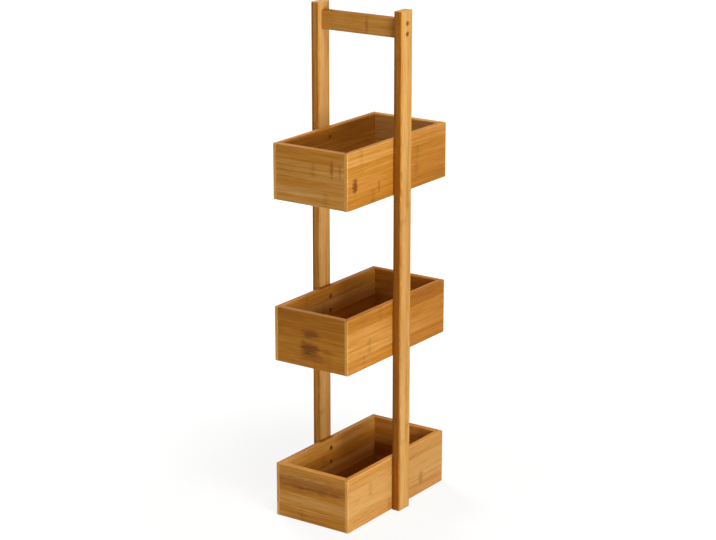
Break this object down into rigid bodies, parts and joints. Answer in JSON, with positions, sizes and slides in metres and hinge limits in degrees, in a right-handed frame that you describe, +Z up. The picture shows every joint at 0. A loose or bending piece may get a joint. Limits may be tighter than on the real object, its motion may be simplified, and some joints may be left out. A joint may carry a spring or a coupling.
{
  "type": "basket shelf",
  "caption": "Free-standing bamboo basket shelf: open box baskets one above another between two flat posts, with a top rail to carry it by.",
  "frame": {"origin": "on the floor, under the middle of the shelf", "axes": "+X along the baskets' length to the right as seen from the front, +Y from the front post towards the rear post, +Z up"},
  "size_m": [0.27, 0.168, 0.8],
  "materials": {
    "bamboo_strip": "satin lacquer",
    "bamboo_board": "satin lacquer",
    "bamboo_panel": "satin lacquer",
    "bronzed_screw": "antique bronze plating, satin"
  },
  "bodies": {
    "root": {"front_post": "bamboo_strip", "rear_post": "bamboo_strip", "top_rail": "bamboo_strip", "rail_screws": "bronzed_screw", "lower_basket_front_side": "bamboo_board", "lower_basket_rear_side": "bamboo_board", "lower_basket_left_end": "bamboo_board", "lower_basket_right_end": "bamboo_board", "lower_basket_bottom_panel": "bamboo_panel", "lower_basket_post_screws": "bronzed_screw", "middle_basket_front_side": "bamboo_board", "middle_basket_rear_side": "bamboo_board", "middle_basket_left_end": "bamboo_board", "middle_basket_right_end": "bamboo_board", "middle_basket_bottom_panel": "bamboo_panel", "middle_basket_post_screws": "bronzed_screw", "upper_basket_front_side": "bamboo_board", "upper_basket_rear_side": "bamboo_board", "upper_basket_left_end": "bamboo_board", "upper_basket_right_end": "bamboo_board", "upper_basket_bottom_panel": "bamboo_panel", "upper_basket_post_screws": "bronzed_screw"}
  },
  "joints": []
}
